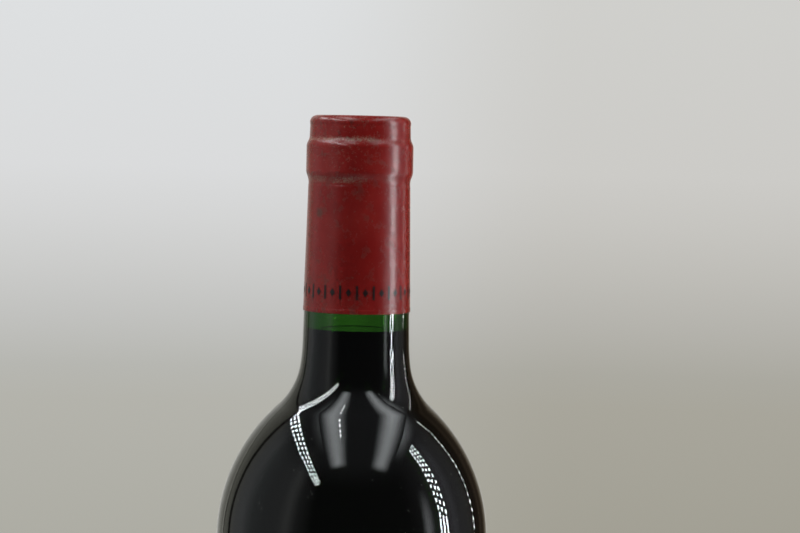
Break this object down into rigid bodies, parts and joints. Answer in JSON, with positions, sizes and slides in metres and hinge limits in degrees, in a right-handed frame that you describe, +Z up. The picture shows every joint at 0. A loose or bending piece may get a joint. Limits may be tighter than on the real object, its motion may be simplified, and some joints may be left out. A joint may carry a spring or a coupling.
{
  "type": "wine bottle",
  "caption": "Sealed 75 cl red wine bottle with straight sides, square shoulders, a punted base, dark green glass, red wine up to the neck and a dark red foil capsule.",
  "frame": {"origin": "centre of the ring that the bottle stands on, at the height of that ring", "axes": "+Z up the bottle's axis, towards its mouth; the bottle is round, so X and Y are any two directions across it"},
  "size_m": [0.076, 0.076, 0.3002],
  "materials": {
    "glass": "polished dark green bottle glass",
    "wine": "still red wine, nearly black in the bottle",
    "foil": "satin dark red foil, dusty in its creases"
  },
  "bodies": {
    "root": {"glass_bottle": "glass", "wine": "wine", "foil_capsule": "foil"}
  },
  "joints": []
}
